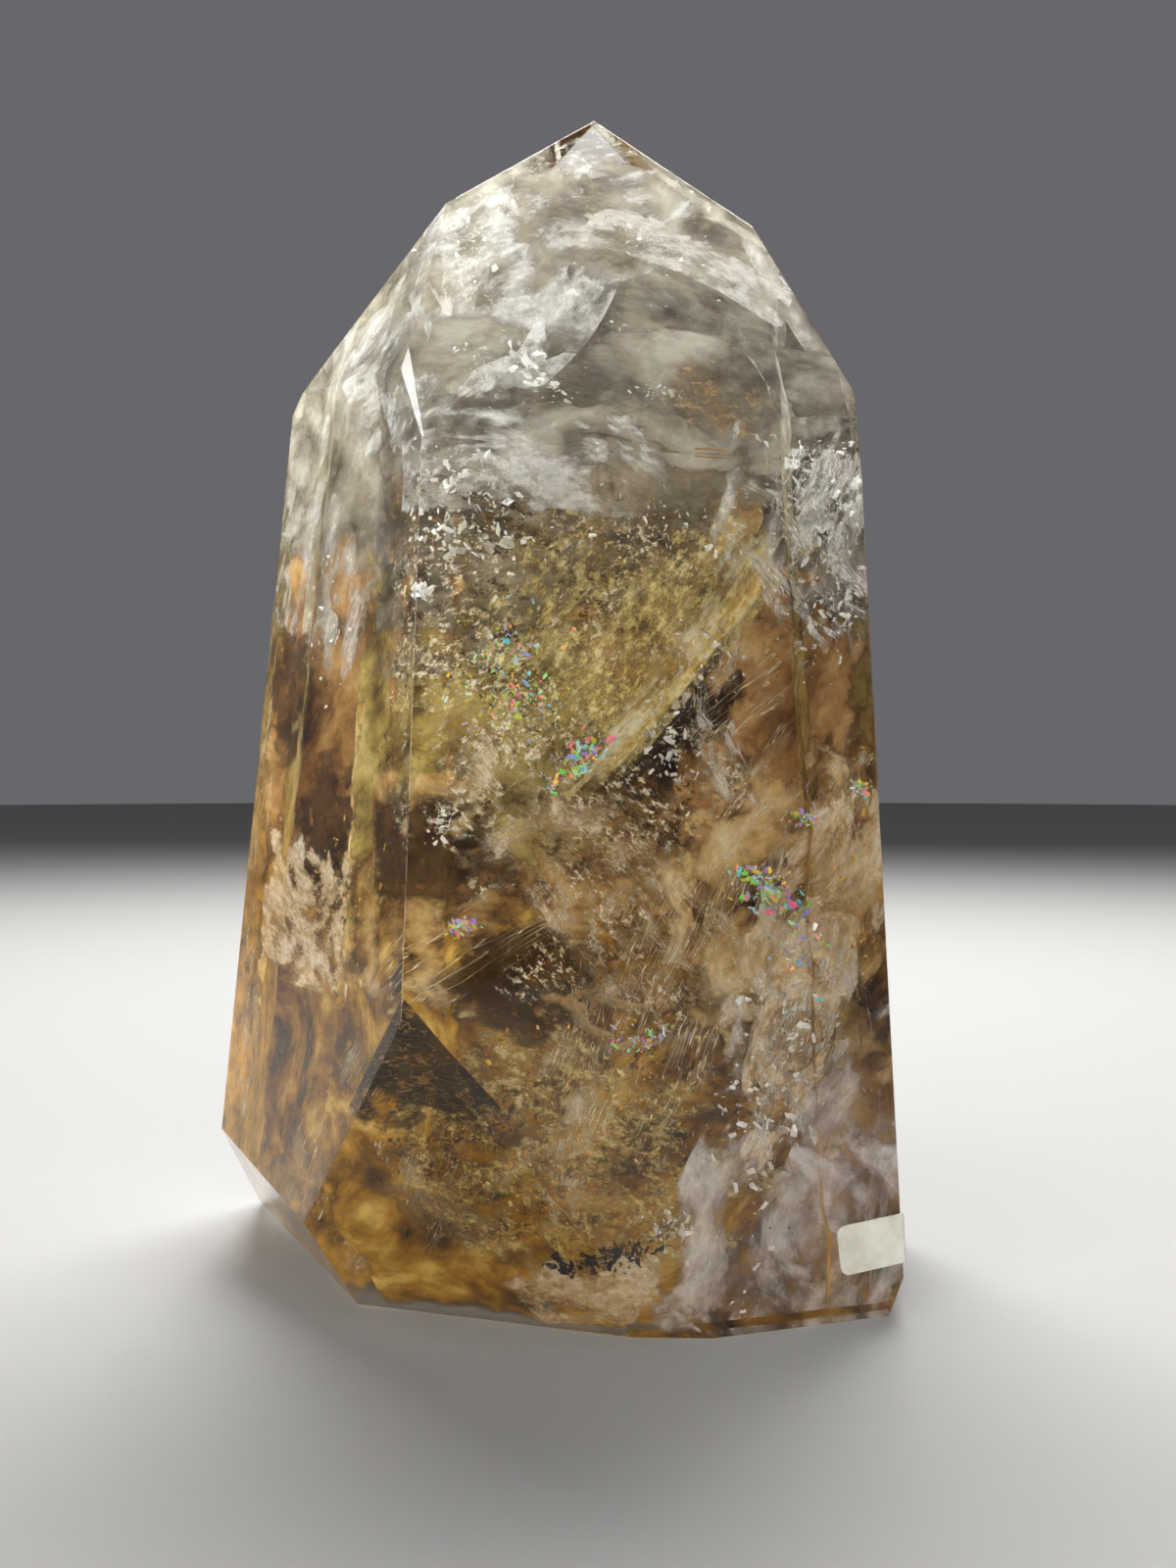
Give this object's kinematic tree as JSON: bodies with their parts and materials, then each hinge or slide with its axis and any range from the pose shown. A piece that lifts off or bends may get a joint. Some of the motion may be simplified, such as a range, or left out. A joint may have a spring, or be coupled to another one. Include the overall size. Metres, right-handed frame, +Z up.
{
  "type": "citrine crystal point",
  "caption": "Clear golden quartz crystal cut to a tapering hexagonal tower with a sloping point, standing on a flat base.",
  "frame": {"origin": "middle of the bounding box at the flat base", "axes": "+Z up through the point, -Y towards the broad front face"},
  "size_m": [0.1158, 0.0964, 0.1944],
  "materials": {
    "crystal": "polished",
    "label": "matt paper"
  },
  "bodies": {
    "root": {"citrine_point": "crystal", "paper_label": "label"}
  },
  "joints": []
}
